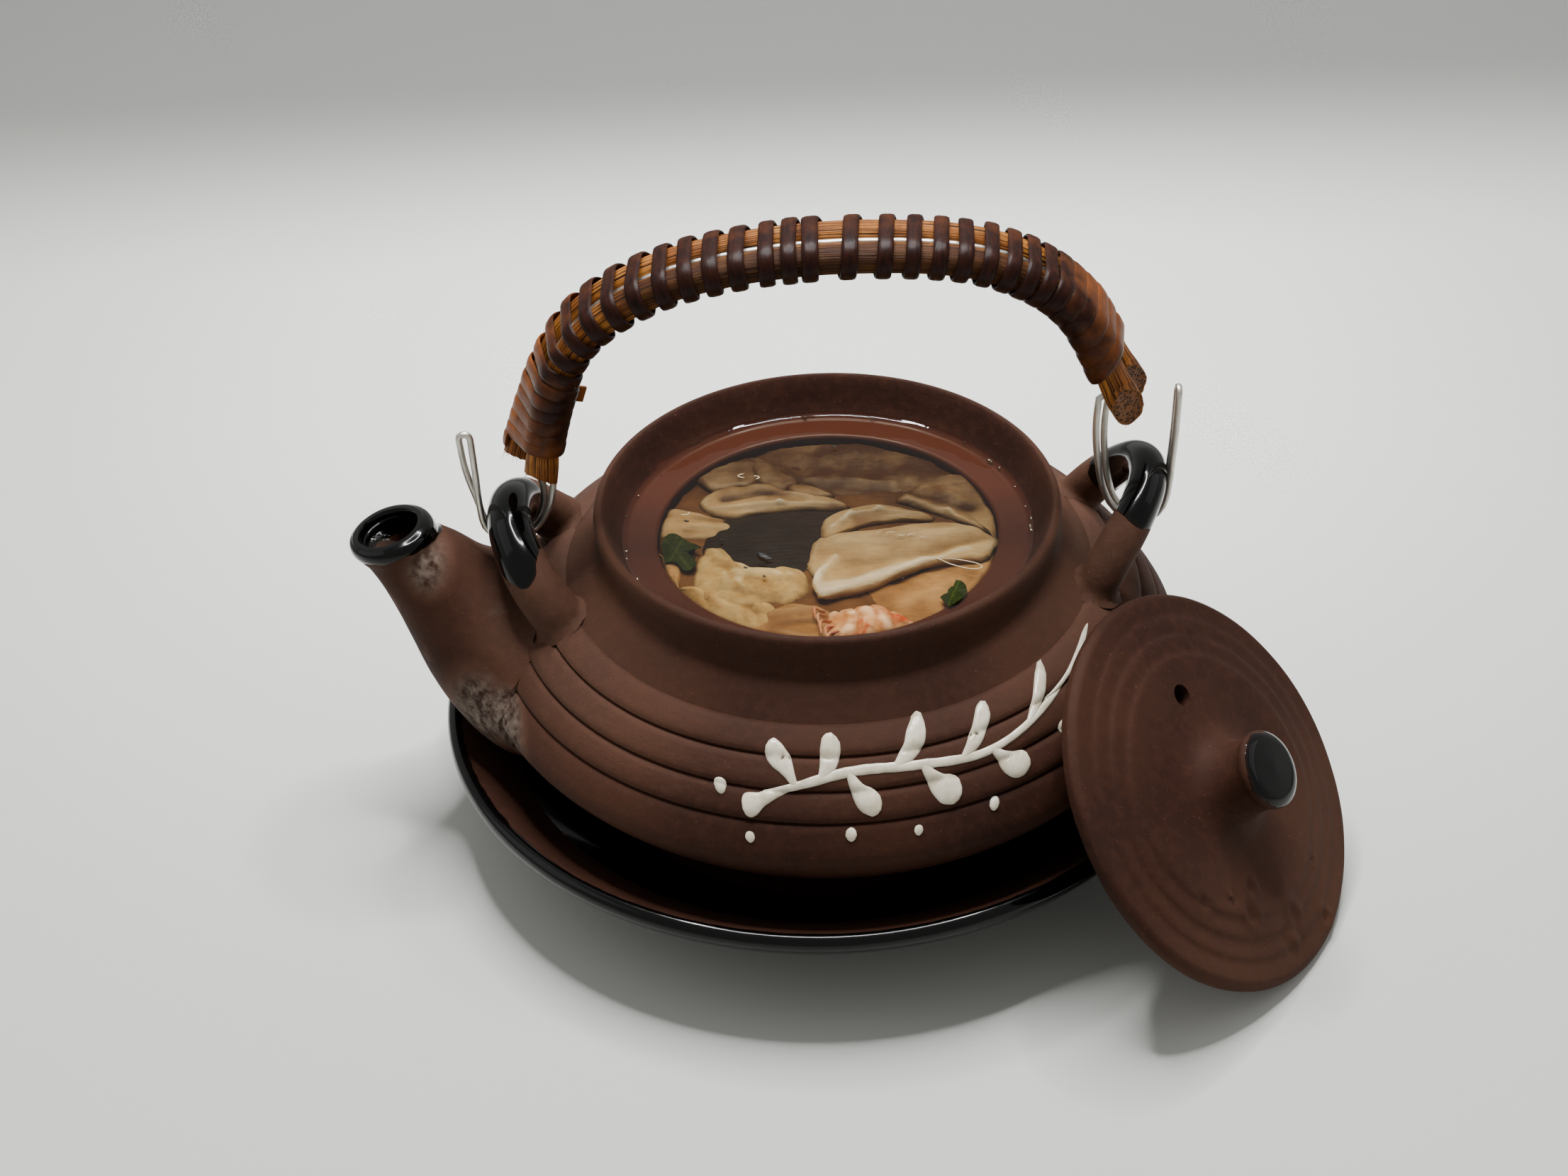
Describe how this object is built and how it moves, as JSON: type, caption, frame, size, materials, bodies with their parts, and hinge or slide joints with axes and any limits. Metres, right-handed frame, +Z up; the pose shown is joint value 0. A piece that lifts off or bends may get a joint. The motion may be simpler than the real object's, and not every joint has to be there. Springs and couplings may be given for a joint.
{
  "type": "dobin mushi",
  "caption": "Clear mushroom and seafood soup in a small unglazed clay teapot with a spout and a cane bail handle, on its saucer, its lid leaning against it.",
  "frame": {"origin": "on the pot's axis, at the level that the saucer stands on", "axes": "+Z up; the spout points to -X and the lid leans on the pot at +X and -Y; the handle's hinge axis is along X"},
  "size_m": [0.1677, 0.1373, 0.1112],
  "materials": {
    "clay": "fine unglazed clay, matt",
    "broth": "clear liquid, smooth",
    "mushroom": "wet",
    "fish": "wet",
    "shrimp": "wet",
    "leaf": "wet",
    "cane": "peeled cane, satin",
    "rattan": "dark rattan skin, satin",
    "steel": "drawn wire"
  },
  "bodies": {
    "pot_on_saucer": {"saucer": "clay", "pot": "clay", "lid": "clay", "broth": "broth", "mushroom_slice_1": "mushroom", "mushroom_slice_2": "mushroom", "mushroom_slice_3": "mushroom", "mushroom_slice_4": "mushroom", "mushroom_slice_5": "mushroom", "fish_piece": "fish", "shrimp": "shrimp", "mitsuba_leaf": "leaf"},
    "bail_handle": {"cane_front": "cane", "cane_back": "cane", "rattan_strip": "rattan", "hook_wire": "steel"}
  },
  "joints": [
    {"name": "bail_swing", "type": "hinge", "parent": "pot_on_saucer", "child": "bail_handle", "pos_m": [0, 0.0025, 0.053], "axis": [1, 0, 0], "range_deg": [-50, 35]}
  ]
}
